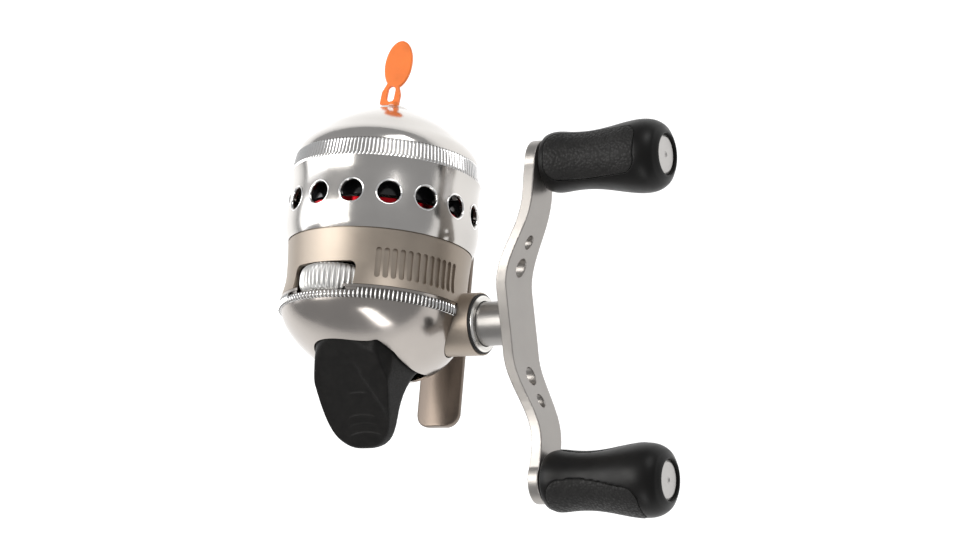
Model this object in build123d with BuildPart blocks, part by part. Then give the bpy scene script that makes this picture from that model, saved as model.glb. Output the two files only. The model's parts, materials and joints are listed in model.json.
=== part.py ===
"""A spincast fishing reel as an assembly of separate pieces, in millimetres.

Frame: the origin is the centre of the foot's flat underside. +Z is up, through the drag dial,
+Y points forward, out of the nose, and +X points to the crank.
"""

from build123d import *
import math
import os

os.makedirs("parts", exist_ok=True)

# ---------------------------------------------------------------- driving dimensions
AXIS_Z = 41.5            # height of the spindle over the foot's underside
SEAM_Y = 12.0            # plane where the front cover meets the body
COVER_R = 27.0           # largest radius of the front cover
WALL = 1.2               # sheet and casting wall

CRANK_BACK = 20.2        # the crank axis lies this far behind the seam
CRANK_DROP = 8.0         # and this far below the spindle
BOSS_R = 8.7             # crank boss
BOSS_X = 30.0            # its end face
LEFT_BOSS_R = 7.0        # the shorter boss on the far side
LEFT_BOSS_X = -21.8
LEFT_BORE_R = 5.2
BOSS_BORE_R = 6.55       # seat of the crank bearings

HANDLE_TILT = 10.1       # rest angle of the handle about the crank axis, degrees
HANDLE_SPAN = 86.5       # between the two knob axes
ARM_WIDTH = 12.0         # at its ends
ARM_WAIST = 15.4         # at its middle
ARM_THICK = 3.2
ARM_SWEEP = 3.4          # sideways S of the arm in the plane it turns in
KNOB_START = 51.2        # x of the knob's inner end
KNOB_END = 86.6
KNOB_PIN_R = 2.5

HOLE_COUNT = 16          # holes round the front cover
HOLE_R = 3.2
HOLE_Y = 9.9             # ahead of the seam
GROOVE_COUNT = 12        # rounded grip grooves on the body band
GROOVE_FIRST = 31.1      # angle of the first from the top, degrees
GROOVE_STEP = 5.0
GROOVE_FLOOR_R = 24.75   # from the spindle
GROOVE_SIZE = (8.5, 1.5)

GEAR_TEETH = 24
PINION_TEETH = 7
MESH_Y = 7.5             # the pinion meets the gear this far ahead of the crank axis
PITCH_R = MESH_Y * PINION_TEETH / GEAR_TEETH
TOOTH_W = 0.35
TOOTH_ADD = 0.42         # tooth height over the pitch line
TOOTH_LENGTH = 1.3       # of the gear's face teeth
GEAR_FACE_X = PITCH_R + TOOTH_ADD + 0.25

SPINDLE_R = 2.0
SPINDLE_TAIL_R = 1.2     # where it runs through the pinion
PRESS = 10.0             # travel of the thumb button, degrees
BUTTON_PIVOT = (-21.0, 16.0)   # seen from the side: behind the seam, over the spindle
BUTTON_HALF_W = 12.0

DIAL_R = 10.5
DIAL_AXIS_R = 17.4       # from the spindle to the dial's axis
DIAL_ANGLE = -6.0        # round the spindle from the top, degrees
DIAL_FLUTES = 44

FOOT_LENGTH = 60.0
FOOT_WIDTH = 13.9
FOOT_THICK = 3.0

RUN = 0.05               # radial running clearance

# ---------------------------------------------------------------- planes and axes
CRANK_Y = SEAM_Y - CRANK_BACK
CRANK_Z = AXIS_Z - CRANK_DROP

# profiles: local x runs along the axis, local y is the radius
SPINDLE_PROFILE = Plane(origin=(0, SEAM_Y, AXIS_Z), x_dir=(0, 1, 0), z_dir=(1, 0, 0))
CRANK_PROFILE = Plane(origin=(0, CRANK_Y, CRANK_Z), x_dir=(1, 0, 0), z_dir=(0, -1, 0))

SPINDLE = Axis((0, SEAM_Y, AXIS_Z), (0, 1, 0))

dial_angle = math.radians(DIAL_ANGLE)
dial_profile = Plane(
    origin=(DIAL_AXIS_R * math.sin(dial_angle), SEAM_Y, AXIS_Z + DIAL_AXIS_R * math.cos(dial_angle)),
    x_dir=(0, 1, 0), z_dir=(1, 0, 0),
)

TILT = math.radians(HANDLE_TILT)
HANDLE_U = Vector(0, math.cos(TILT), math.sin(TILT))
HANDLE_W = Vector(0, -math.sin(TILT), math.cos(TILT))


def across(y):
    """Plane across the spindle at y from the seam: local y is up, extrusions go rearward."""
    return Plane(origin=(0, SEAM_Y + y, AXIS_Z), x_dir=(1, 0, 0), z_dir=(0, -1, 0))


def beside(x):
    """Plane across the crank axis at x: local x is forward, local y is up."""
    return Plane(origin=(x, CRANK_Y, CRANK_Z), x_dir=(0, 1, 0), z_dir=(1, 0, 0))


def beside_handle(x):
    """Plane across the crank axis at x, turned with the handle: local x is along the arm."""
    return Plane(origin=(x, CRANK_Y, CRANK_Z), x_dir=HANDLE_U, z_dir=(1, 0, 0))


def knob_profile(side):
    """Profile plane of a knob: side is +1 for the front knob and -1 for the rear one."""
    centre = Vector(0, CRANK_Y, CRANK_Z) + HANDLE_U * (side * HANDLE_SPAN / 2)
    return Plane(origin=centre, x_dir=(1, 0, 0), z_dir=(0, -1, 0))


def turned(points, profile=SPINDLE_PROFILE):
    """A solid turned about the profile plane's x axis, from straight-sided corners."""
    with BuildPart() as blank:
        with BuildSketch(profile):
            with BuildLine():
                Polyline(*points, close=True)
            make_face()
        revolve(axis=Axis(profile.origin, profile.x_dir))
    return blank.part


def ring(start, end, inner, outer, profile=SPINDLE_PROFILE):
    """A plain ring between two stations and two radii."""
    return turned([(start, inner), (end, inner), (end, outer), (start, outer)], profile)


def ball_bearing(start, end, inner, outer, profile=SPINDLE_PROFILE):
    """A shielded ball bearing: a ring with a shallow groove between its races."""
    third = (outer - inner) / 3
    groove = 0.25
    with BuildPart() as bearing:
        add(ring(start, end, inner, outer, profile))
        for near, far in ((start, start + groove), (end - groove, end)):
            add(ring(near, far, inner + third, outer - third, profile), mode=Mode.SUBTRACT)
    return bearing.part


def screw(plane, head_r, head_h, shank_r, length):
    """A round-head screw with a cross recess: the head stands on the plane, the shank below."""
    with BuildPart() as fastener:
        with BuildSketch(plane):
            Circle(head_r)
        extrude(amount=head_h)
        with BuildSketch(plane):
            Circle(shank_r)
        extrude(amount=-length)
        with BuildSketch(plane.offset(head_h)):
            Rectangle(1.3 * head_r, 0.28 * head_r)
            Rectangle(0.28 * head_r, 1.3 * head_r)
        extrude(amount=-0.45 * head_h, mode=Mode.SUBTRACT)
        edge = fastener.edges().filter_by(GeomType.CIRCLE).group_by(SortBy.RADIUS)[-1]
        chamfer(edge.sort_by(Axis(plane.origin, plane.z_dir))[-1], 0.25 * head_h)
    return fastener.part


def coil_spring(plane, coil_r, wire_r, height, turns):
    """An open helical spring that stands on the plane."""
    with BuildPart() as spring:
        with BuildLine():
            path = Helix(height / turns, height, coil_r, center=plane.origin, direction=plane.z_dir)
        start = Plane(origin=path @ 0, z_dir=path % 0)
        with BuildSketch(start):
            Circle(wire_r)
        sweep(path=path, is_frenet=True)
    return spring.part


pieces = {}

# ---------------------------------------------------------------- front cover and nose
RIM_R = 25.9
BAND = (20.2, 25.4)      # recess that carries the fine coin edge, ahead of the seam
BAND_DEPTH = 0.45
NOSE_R = 4.2
NOSE_Y = 41.3

with BuildPart() as front_cover:
    with BuildSketch(SPINDLE_PROFILE):
        with BuildLine():
            Spline((0, RIM_R), (2, 26.6), (9, COVER_R), (BAND[0], 26.65))
            Polyline(
                (BAND[0], 26.65),
                (BAND[0], 26.65 - BAND_DEPTH),
                (BAND[1], 25.7 - BAND_DEPTH),
                (BAND[1], 25.7),
            )
            Spline((BAND[1], 25.7), (27.6, 24.95), (29, 23.95), (31, 21.75), (34, 18.2), (37, 13.5),
                   (39.3, 8.9), (NOSE_Y, NOSE_R))
            Line((NOSE_Y, NOSE_R), (NOSE_Y - WALL, NOSE_R))
            Spline((NOSE_Y - WALL, NOSE_R), (38.2, 8.4), (35.9, 12.9), (32.9, 17.3), (29.9, 20.9),
                   (27.4, 23.2), (24, 24.1))
            Polyline((24, 24.1), (20, 25.35), (9, 25.75), (2, 25.35), (0, 25.2), (0, RIM_R))
        make_face()
    revolve(axis=SPINDLE)
    hole_planes = []
    for index in range(HOLE_COUNT):
        angle = math.radians((index + 0.5) * 360 / HOLE_COUNT)
        outward = (math.sin(angle), 0, math.cos(angle))
        hole_planes.append(Plane(origin=(0, SEAM_Y + HOLE_Y, AXIS_Z), x_dir=(0, 1, 0), z_dir=outward))
    with Locations(*[plane.offset(COVER_R) for plane in hole_planes]):
        Cylinder(HOLE_R, 8, mode=Mode.SUBTRACT)
    with Locations(*[plane.offset(COVER_R - 0.3) for plane in hole_planes]):
        Cone(HOLE_R, HOLE_R + 0.55, 0.7, mode=Mode.SUBTRACT)
pieces["front_cover"] = front_cover

pieces["nose_guide"] = turned(
    [(38.6, 3.6), (38.6, 4.15), (41.35, 4.15), (41.35, 5.3), (41.9, 5.3), (42.5, 3.9), (42.5, 2.6),
     (41.3, 1.75), (39.4, 1.75), (38.6, 2.4)]
)

# ---------------------------------------------------------------- line tag
TAG_BASE = Vector(-1.6, SEAM_Y + 43.0, AXIS_Z)
TAG_LEAN = math.radians(7)       # from forward toward the crank side
TAG_TURN = math.radians(12)      # of its face toward the crank side
TAG_THICK = 1.2
PEG_R = 1.55

tag_up = Vector(math.sin(TAG_LEAN), math.cos(TAG_LEAN), 0)
tag_side = Vector(math.cos(TAG_LEAN), -math.sin(TAG_LEAN), 0)
tag_across = tag_side * math.cos(TAG_TURN) - Vector(0, 0, math.sin(TAG_TURN))
tag_plane = Plane(origin=TAG_BASE, x_dir=tag_across, z_dir=tag_across.cross(tag_up))

with BuildPart() as line_tag:
    with BuildSketch(tag_plane.offset(-TAG_THICK / 2)):
        with Locations((0.4, 12.3)):
            Ellipse(4.0, 7.1)
        with BuildLine():
            Polyline((-2.8, 0), (2.8, 0), (2.8, 3.6), (1.8, 6.3), (2.3, 8.0), (-1.6, 8.0), (-1.7, 6.3),
                     (-2.8, 3.6), close=True)
        make_face()
        with Locations((0, 3.4)):
            SlotOverall(4.6, 2.2, rotation=90, mode=Mode.SUBTRACT)
    extrude(amount=TAG_THICK)
    fillet(line_tag.edges().group_by(SortBy.LENGTH)[-1], 0.3)
    with BuildSketch(across(43.8)):
        Circle(PEG_R)
    extrude(amount=5.0)
pieces["line_tag"] = line_tag.part

# ---------------------------------------------------------------- body: band, deck, post, ears, bosses
BAND_END = -16.1         # rear rim of the body band
BAND_INNER_R = 23.9
SEAM_GAP = -0.3          # shadow line left under the front cover
SEAM_GAP_R = 25.15
DECK = (-4.0, -1.0)
POST_R = 7.0
POST_TOP = 10.4
EAR_X = (12.5, 16.5)     # plates that carry the crank bosses
POST_SCREW = (10.8, -18.6)     # rear cover screws, beside and under the spindle
PAD_Z = -27.0            # flat under the band where the foot's stem is screwed on
STEM_Y = (-15.5, -2.0)
FOOT_SCREW_Y = (-13.2, -7.2)

with BuildPart() as body:
    with BuildSketch(SPINDLE_PROFILE):
        with BuildLine():
            Spline((SEAM_GAP, 25.78), (-4, 25.5), (-8, 25.3), (-12, 25.4), (-14, 25.75), (BAND_END, 26.2))
            Polyline((BAND_END, 26.2), (BAND_END, BAND_INNER_R), (0, BAND_INNER_R), (0, SEAM_GAP_R),
                     (SEAM_GAP, SEAM_GAP_R), (SEAM_GAP, 25.78))
        make_face()
    revolve(axis=SPINDLE)
    add(ring(-1, 3, 22.8, 24.6))
    add(ring(DECK[0], DECK[1], SPINDLE_R + 1.0, 24.5))
    add(ring(DECK[0], POST_TOP, 3.6, POST_R))
    # crank ears and bosses, closed by the cover behind
    for side, boss_r, bore_r, end in (
        (1, BOSS_R, BOSS_BORE_R, BOSS_X),
        (-1, LEFT_BOSS_R, LEFT_BORE_R, -LEFT_BOSS_X),
    ):
        foot_of_ear = beside(side * EAR_X[0])
        with BuildSketch(foot_of_ear):
            Circle(boss_r)
            with Locations((CRANK_BACK / 2 - 2, 0)):
                Rectangle(CRANK_BACK - 4, 2 * boss_r)
        extrude(amount=side * (EAR_X[1] - EAR_X[0]))
        with BuildSketch(foot_of_ear):
            Circle(boss_r)
        extrude(amount=side * (end - EAR_X[0]))
        with BuildSketch(foot_of_ear):
            Circle(bore_r)
        extrude(amount=side * (end - EAR_X[0]), mode=Mode.SUBTRACT)
    with BuildSketch(beside(BOSS_X)):
        Circle(7.2)
    extrude(amount=-3.0, mode=Mode.SUBTRACT)
    with BuildSketch(beside(LEFT_BOSS_X)):
        Circle(LEFT_BOSS_R + 0.1)
    extrude(amount=-6.0, mode=Mode.SUBTRACT)
    # posts for the rear cover screws
    with BuildSketch(across(DECK[0])):
        with Locations((POST_SCREW[0], POST_SCREW[1]), (-POST_SCREW[0], POST_SCREW[1])):
            Circle(2.9)
    extrude(amount=17.8)
    with BuildSketch(across(DECK[0] - 17.8)):
        with Locations((POST_SCREW[0], POST_SCREW[1]), (-POST_SCREW[0], POST_SCREW[1])):
            Circle(1.5)
    extrude(amount=-10, mode=Mode.SUBTRACT)
    # pad for the foot, inside and under the band
    pad_length = STEM_Y[1] - STEM_Y[0]
    pad_y = SEAM_Y + (STEM_Y[0] + STEM_Y[1]) / 2
    with BuildSketch(Plane.XY.offset(AXIS_Z + PAD_Z)):
        with Locations((0, pad_y)):
            RectangleRounded(13, pad_length, 2.5)
    extrude(amount=3.8)
    with BuildSketch(Plane.XY.offset(AXIS_Z + PAD_Z)):
        with Locations(*[(0, SEAM_Y + y) for y in FOOT_SCREW_Y]):
            Circle(1.6)
    extrude(amount=5, mode=Mode.SUBTRACT)
    # seats of the pinion bearing and the front spindle bearing
    add(ring(DECK[0] - 0.1, DECK[0] + 2.6, 0, 5.25), mode=Mode.SUBTRACT)
    add(ring(7.2, POST_TOP + 0.1, 0, 4.55), mode=Mode.SUBTRACT)
    # groove of the spool clip
    add(ring(9.3, 10.0, 6.3, POST_R + 1), mode=Mode.SUBTRACT)
    # slot that the drag dial shows through, and the hole of its stud
    with BuildSketch(Plane.XY.offset(AXIS_Z + 15)):
        with Locations((-2.45, SEAM_Y - 14.5)):
            RectangleRounded(20.3, 10.0, 1.8)
    extrude(amount=15, mode=Mode.SUBTRACT)
    # rounded grip grooves
    for index in range(GROOVE_COUNT):
        angle = math.radians(GROOVE_FIRST + GROOVE_STEP * index)
        outward = Vector(math.sin(angle), 0, math.cos(angle))
        floor = Vector(0, SEAM_Y - 9.6, AXIS_Z) + outward * GROOVE_FLOOR_R
        with BuildSketch(Plane(origin=floor, x_dir=(0, 1, 0), z_dir=outward)):
            SlotOverall(*GROOVE_SIZE)
        extrude(amount=2, mode=Mode.SUBTRACT)
pieces["body"] = body.part

# ---------------------------------------------------------------- foot
with BuildPart() as reel_foot:
    with BuildSketch(Plane.XZ.offset(-FOOT_LENGTH / 2)):
        with BuildLine():
            half = FOOT_WIDTH / 2
            Polyline((-half, 1.6), (-half, 0), (half, 0), (half, 1.6))
            ThreePointArc((half, 1.6), (0, FOOT_THICK), (-half, 1.6))
        make_face()
    extrude(amount=FOOT_LENGTH)
    corners = reel_foot.edges().filter_by(Axis.Z)
    fillet(corners, 4.2)
    stem_mid = SEAM_Y + (STEM_Y[0] + STEM_Y[1]) / 2
    with BuildSketch(Plane.XY.offset(1.2)):
        with Locations((0, stem_mid - 1.5)):
            RectangleRounded(9.5, 24, 4)
    with BuildSketch(Plane.XY.offset(7.0)):
        with Locations((0, stem_mid)):
            RectangleRounded(8.0, 15, 3.2)
    with BuildSketch(Plane.XY.offset(AXIS_Z + PAD_Z - RUN)):
        with Locations((0, stem_mid)):
            RectangleRounded(12.6, pad_length - 0.4, 2.3)
    loft()
    with BuildSketch(Plane.XY.offset(AXIS_Z + PAD_Z)):
        with Locations(*[(0, SEAM_Y + y) for y in FOOT_SCREW_Y]):
            Circle(1.5)
    extrude(amount=-9, mode=Mode.SUBTRACT)
pieces["reel_foot"] = reel_foot.part

with BuildPart() as foot_screws:
    for y in FOOT_SCREW_Y:
        seat = Plane(origin=(0, SEAM_Y + y, AXIS_Z + PAD_Z + 3.8))
        add(screw(seat, 2.6, 1.5, 1.5, 12))
pieces["foot_screws"] = foot_screws.part

# ---------------------------------------------------------------- rear cover
# circles behind the seam: station, radius, drop of the centre
DOME = ((-16.25, 26.3, 0), (-20.2, 25.75, 0), (-24, 24.3, 0.9), (-28, 21.4, 2.7), (-31.2, 17.6, 4.2),
        (-33.8, 12.6, 5.6), (-35.3, 7.6, 6.2), (-35.9, 3.2, 6.4))
BUTTON_TOP = 16.4
OPEN_LOW = -11.3
COIN = (-17.0, -19.9)    # coin-edge recess behind the rim
PIN_R = 1.2


def dome(shrink):
    """The dome as a loft through its circles, shrunk for the inner wall."""
    with BuildPart() as blank:
        for station, radius, drop in DOME:
            plane = across(station + (shrink if station < -34 else 0))
            with BuildSketch(plane):
                with Locations((0, -drop)):
                    Circle(max(radius - shrink, 1.0))
        loft()
    return blank.part


def arch_block(start, length, grow, low):
    """The thumb button's arched outline, seen from behind, as a block that runs rearward."""
    half_w = BUTTON_HALF_W + grow
    with BuildPart() as block:
        with BuildSketch(across(start)):
            with BuildLine():
                Polyline((half_w, 8.0), (half_w - 0.2, low), (-half_w + 0.2, low), (-half_w, 8.0))
                Spline((-half_w, 8.0), (-half_w * 0.72, 14.1 + grow * 0.7), (0, BUTTON_TOP + grow),
                       (half_w * 0.72, 14.1 + grow * 0.7), (half_w, 8.0),
                       tangents=((0.25, 1), (0.25, -1)))
            make_face()
        extrude(amount=length)
    return block.part


dome_outside = dome(0)
LUG_X = (10.4, 13.2)

with BuildPart() as rear_cover:
    add(dome_outside)
    add(dome(WALL), mode=Mode.SUBTRACT)
    # lugs of the button's hinge pin
    for side in (-1, 1):
        with BuildSketch(beside(side * LUG_X[0])):
            with Locations((CRANK_BACK + BUTTON_PIVOT[0], CRANK_DROP + BUTTON_PIVOT[1] + 2)):
                Rectangle(4.2, 9.0)
        extrude(amount=side * (LUG_X[1] - LUG_X[0]))
    # tubes of the two cover screws
    with BuildSketch(across(-21.95)):
        with Locations((POST_SCREW[0], POST_SCREW[1]), (-POST_SCREW[0], POST_SCREW[1])):
            Circle(3.6)
    extrude(amount=9)
    add(dome_outside, mode=Mode.INTERSECT)
    with BuildSketch(across(-25.0)):
        with Locations((POST_SCREW[0], POST_SCREW[1]), (-POST_SCREW[0], POST_SCREW[1])):
            Circle(3.0)
    extrude(amount=9, mode=Mode.SUBTRACT)
    with BuildSketch(across(-20)):
        with Locations((POST_SCREW[0], POST_SCREW[1]), (-POST_SCREW[0], POST_SCREW[1])):
            Circle(1.6)
    extrude(amount=9, mode=Mode.SUBTRACT)
    # hinge pin hole
    with BuildSketch(beside(-15)):
        with Locations((CRANK_BACK + BUTTON_PIVOT[0], CRANK_DROP + BUTTON_PIVOT[1])):
            Circle(PIN_R)
    extrude(amount=30, mode=Mode.SUBTRACT)
    # opening of the thumb button
    add(arch_block(-23.5, 16, 0.45, OPEN_LOW), mode=Mode.SUBTRACT)
    # notches round the crank bosses
    for side, boss_r in ((1, BOSS_R), (-1, LEFT_BOSS_R)):
        with BuildSketch(beside(side * 11.5)):
            Circle(boss_r + 0.3)
            with Locations((10, 0)):
                Rectangle(20, 2 * boss_r + 0.6)
        extrude(amount=side * 20, mode=Mode.SUBTRACT)
    # recess of the coin edge
    rim = turned([(COIN[0], 25.9), (COIN[1], 25.25), (COIN[1], 28), (COIN[0], 28)])
    add(rim, mode=Mode.SUBTRACT)
    # clearance round the dial
    add(ring(-18.0, -10.0, 0, DIAL_R + 0.45, dial_profile), mode=Mode.SUBTRACT)
pieces["rear_cover"] = rear_cover.part

with BuildPart() as rear_cover_screws:
    for side in (-1, 1):
        seat = across(-25.0).shift_origin((side * POST_SCREW[0], SEAM_Y - 25.0, AXIS_Z + POST_SCREW[1]))
        add(screw(seat, 2.7, 1.4, 1.45, 11))
pieces["rear_cover_screws"] = rear_cover_screws.part

# ---------------------------------------------------------------- thumb button and its hinge
PIVOT_PLANE_SHIFT = (CRANK_BACK + BUTTON_PIVOT[0], CRANK_DROP + BUTTON_PIVOT[1])
CAVITY_R = 12.8

with BuildPart() as thumb_button:
    with BuildSketch(SPINDLE_PROFILE):
        with BuildLine():
            Spline((-28.3, 16.4), (-37, 11.2), (-44, 7.1), (-50, 3.4), (-54.6, -0.6))
            ThreePointArc((-54.6, -0.6), (-55.9, -2.2), (-54.6, -3.2))
            Spline((-54.6, -3.2), (-50, -1.9), (-44, -0.9), (-38.5, -2.6), (-33.3, -8.1))
            Polyline((-33.3, -8.1), (-31.9, -8.7), (-31.3, -11.6), (-30.1, -11.6), (-29.05, -2),
                     (-29.05, 4.5), (-25.2, 6.5), (-25.2, 15.8), (-28.3, 16.4))
        make_face()
    extrude(amount=BUTTON_HALF_W, both=True)
    add(arch_block(-20, 40, 0, -12), mode=Mode.INTERSECT)
    with BuildSketch(Plane.XY.offset(AXIS_Z - 15)):
        with BuildLine():
            Polyline((12.0, SEAM_Y - 37), (12.0, SEAM_Y - 20), (-12.0, SEAM_Y - 20), (-12.0, SEAM_Y - 37))
            Spline((-12.0, SEAM_Y - 37), (-11.2, SEAM_Y - 43), (-10.1, SEAM_Y - 48.5), (-8.0, SEAM_Y - 53),
                   (0, SEAM_Y - 56), (8.0, SEAM_Y - 53), (10.1, SEAM_Y - 48.5), (11.2, SEAM_Y - 43),
                   (12.0, SEAM_Y - 37))
        make_face()
    extrude(amount=40, mode=Mode.INTERSECT)
    # ears that turn on the hinge pin
    for side in (-1, 1):
        with BuildSketch(beside(side * 7.4)):
            with Locations(PIVOT_PLANE_SHIFT):
                Circle(2.6)
            with Locations((PIVOT_PLANE_SHIFT[0] - 3.4, PIVOT_PLANE_SHIFT[1] - 3.2)):
                Rectangle(5.2, 6.2)
        extrude(amount=side * 2.6)
    with BuildSketch(beside(-15)):
        with Locations(PIVOT_PLANE_SHIFT):
            Circle(PIN_R + RUN)
    extrude(amount=30, mode=Mode.SUBTRACT)
    # room for the drive gear at every position of the button
    for press in (0.0, PRESS / 2, PRESS):
        swing = math.radians(press)
        dy = -CRANK_BACK - BUTTON_PIVOT[0]
        dz = -CRANK_DROP - BUTTON_PIVOT[1]
        back = (math.cos(swing) * dy + math.sin(swing) * dz) - dy
        up = (-math.sin(swing) * dy + math.cos(swing) * dz) - dz
        with BuildSketch(beside(1.2)):
            with Locations((back, up)):
                Circle(CAVITY_R)
        extrude(amount=7.2, mode=Mode.SUBTRACT)
pieces["thumb_button"] = thumb_button.part

pin_profile = Plane(
    origin=(0, SEAM_Y + BUTTON_PIVOT[0], AXIS_Z + BUTTON_PIVOT[1]), x_dir=(1, 0, 0), z_dir=(0, -1, 0)
)
pieces["button_pin"] = turned([(-13.1, 0), (13.1, 0), (13.1, PIN_R), (-13.1, PIN_R)], pin_profile)

with BuildPart() as button_spring:
    for start in (-6.6, 2.2):
        hinge_point = (start, SEAM_Y + BUTTON_PIVOT[0], AXIS_Z + BUTTON_PIVOT[1])
        add(coil_spring(Plane(origin=hinge_point, x_dir=(0, 1, 0), z_dir=(1, 0, 0)), 1.75, 0.3, 3.6, 4))
pieces["button_spring"] = button_spring.part

# ---------------------------------------------------------------- spindle group
PAD_FLAT_X = 1.5         # the pad is flat on the side that faces the drive gear

with BuildPart() as push_pad:
    add(turned([(-28.7, 0), (-28.7, 2.8), (-28.2, 3.3), (-24.6, 3.3), (-24.6, SPINDLE_TAIL_R + RUN),
                (-27.2, SPINDLE_TAIL_R + RUN), (-27.2, 0)]))
    split(bisect_by=Plane(origin=(PAD_FLAT_X, 0, 0), z_dir=(1, 0, 0)), keep=Keep.BOTTOM)
pieces["push_pad"] = push_pad.part
pieces["spindle"] = turned(
    [(-27.0, 0), (-27.0, SPINDLE_TAIL_R), (0.2, SPINDLE_TAIL_R), (0.2, 3.2), (1.0, 3.2),
     (1.0, SPINDLE_R), (12.4, SPINDLE_R), (12.4, 1.6), (22.6, 1.6), (22.9, 1.3), (22.9, 0)]
)
pieces["return_spring"] = coil_spring(across(6.4), 2.75, 0.35, 5.0, 5)

CUP_R = 22.2
PIN_Y = 14.5

with BuildPart() as spinner_head:
    add(turned([(10.0, 21.0), (10.0, CUP_R - 0.3), (10.3, CUP_R), (17.6, CUP_R), (18.8, CUP_R - 0.5),
                (19.4, CUP_R - 1.8), (19.4, 3.6), (20.0, 3.6), (20.0, 1.65), (12.5, 1.65), (12.5, 5.0),
                (18.0, 5.0), (18.0, 20.4), (17.4, 21.0)]))
    for side in (-1, 1):
        bore = Plane(origin=(side * 16.2, SEAM_Y + PIN_Y, AXIS_Z), z_dir=(side, 0, 0))
        with BuildSketch(bore):
            Circle(2.1)
        extrude(amount=5.2)
    for side in (-1, 1):
        bore = Plane(origin=(side * 12, SEAM_Y + PIN_Y, AXIS_Z), z_dir=(side, 0, 0))
        with BuildSketch(bore):
            Circle(1.0 + RUN)
        extrude(amount=14, mode=Mode.SUBTRACT)
pieces["spinner_head"] = spinner_head.part

with BuildPart() as spinner_nut:
    with BuildSketch(across(22.2)):
        RegularPolygon(3.1, 6)
        Circle(1.62, mode=Mode.SUBTRACT)
    extrude(amount=2.15)
pieces["spinner_nut"] = spinner_nut.part

for number, side in ((1, 1), (2, -1)):
    with BuildPart() as pickup_pin:
        root = Plane(origin=(side * 14.0, SEAM_Y + PIN_Y, AXIS_Z), z_dir=(side, 0, 0))
        with BuildSketch(root):
            Circle(1.0)
        extrude(amount=9.6)
        with BuildSketch(root):
            Circle(1.8)
        extrude(amount=1.0)
        chamfer(pickup_pin.faces().sort_by(Axis.X)[-1 if side > 0 else 0].edges(), 0.35)
    pieces[f"pickup_pin_{number}"] = pickup_pin.part

# ---------------------------------------------------------------- pinion
with BuildPart() as pinion:
    add(ring(-17.0, DECK[0] + 2.5, SPINDLE_TAIL_R + RUN, 1.62))
    add(ring(-6.8, DECK[0] + 2.5, 1.5, 3.2))
    add(ring(-7.6, -6.8, 1.5, 4.2))
    tooth_angle = 360 / PINION_TEETH
    with BuildSketch(across(-7.6)):
        with PolarLocations(0, PINION_TEETH, start_angle=tooth_angle / 2):
            with Locations((PITCH_R - 0.1, 0)):
                Trapezoid(TOOTH_W + 0.3, 2 * TOOTH_ADD + 0.3, 78, rotation=-90)
    extrude(amount=9.4)
pieces["pinion"] = pinion.part

# ---------------------------------------------------------------- spool and line
pieces["spool"] = turned(
    [(3.7, POST_R + 0.15), (9.15, POST_R + 0.15), (9.15, 9.3), (12.0, 9.3), (12.0, 18.7), (11.6, 19.3),
     (10.9, 19.3), (10.9, 11.2), (4.9, 11.2), (4.9, 21.2), (9.4, 21.2), (9.4, 22.3), (3.7, 22.3)]
)
pieces["line_winding"] = turned(
    [(5.0, 11.25), (10.8, 11.25), (10.8, 16.4), (10.2, 17.3), (7.9, 17.8), (5.6, 17.3), (5.0, 16.4)]
)
pieces["spool_clip"] = ring(9.35, 9.95, 6.35, 8.7)
pieces["drag_felt_washer"] = ring(2.65, 3.55, POST_R + 0.1, 14.5)
pieces["drag_plate"] = ring(1.75, 2.55, POST_R + 0.1, 15.5)
pieces["drag_spring_washer"] = turned([(0.5, 13.2), (1.35, POST_R + 0.1), (1.65, POST_R + 0.1), (0.8, 13.2)])
pieces["drag_pusher"] = ring(-0.7, 0.4, 13.4, 17.5)

# ---------------------------------------------------------------- bearings on the spindle
pieces["spindle_bearing"] = ball_bearing(7.25, 9.85, SPINDLE_R + RUN, 4.5)
pieces["pinion_bearing"] = ball_bearing(DECK[0] - 0.05, DECK[0] + 2.5, 3.2 + RUN, 5.2)

# ---------------------------------------------------------------- crank group
SHAFT_R = 3.0
HUB_R = 6.1
HUB_START = 26.9
HUB_STOP = 39.55
HUB_WALL = 0.75          # closed end of the hub
BORE_OF_SCREW = 1.25

SHAFT_START = -19.6
SHAFT_STOP = 36.5

pieces["crankshaft"] = ring(SHAFT_START, SHAFT_STOP, BORE_OF_SCREW, SHAFT_R, CRANK_PROFILE)
pieces["crank_bearing_left"] = ball_bearing(
    -19.2, -15.4, SHAFT_R + RUN, LEFT_BORE_R - RUN, CRANK_PROFILE
)
pieces["crank_bearing_right"] = ball_bearing(
    22.5, 26.4, SHAFT_R + RUN, BOSS_BORE_R - RUN, CRANK_PROFILE
)

with BuildPart() as anti_reverse_clutch:
    add(ring(13.5, 21.5, 4.6, BOSS_BORE_R - RUN, CRANK_PROFILE))
    with BuildSketch(beside(13.5)):
        with PolarLocations(3.95, 8):
            Circle(0.8)
    extrude(amount=8)
    add(ring(13.5, 14.3, SHAFT_R + RUN + 0.05, 4.8, CRANK_PROFILE))
    add(ring(20.7, 21.5, SHAFT_R + RUN + 0.05, 4.8, CRANK_PROFILE))
pieces["anti_reverse_clutch"] = anti_reverse_clutch.part

pieces["crank_retainer"] = turned(
    [(27.4, 6.35), (31.2, 6.35), (31.2, 7.4), (30.8, 7.8), (30.45, 7.8), (30.45, 7.15), (27.4, 7.15)],
    CRANK_PROFILE,
)
pieces["crank_seal"] = ring(BOSS_X + 0.02, 30.42, 7.3, 8.3, CRANK_PROFILE)
pieces["side_cap"] = turned(
    [(LEFT_BOSS_X - 1.4, 0), (LEFT_BOSS_X - 1.2, 5.2), (LEFT_BOSS_X - 0.8, 6.4),
     (LEFT_BOSS_X - 0.02, 6.9), (LEFT_BOSS_X - 0.02, 5.15), (LEFT_BOSS_X + 1.2, 5.15),
     (LEFT_BOSS_X + 1.2, 4.5), (LEFT_BOSS_X - 0.02, 4.5), (LEFT_BOSS_X - 0.02, 0)],
    CRANK_PROFILE,
)

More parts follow.
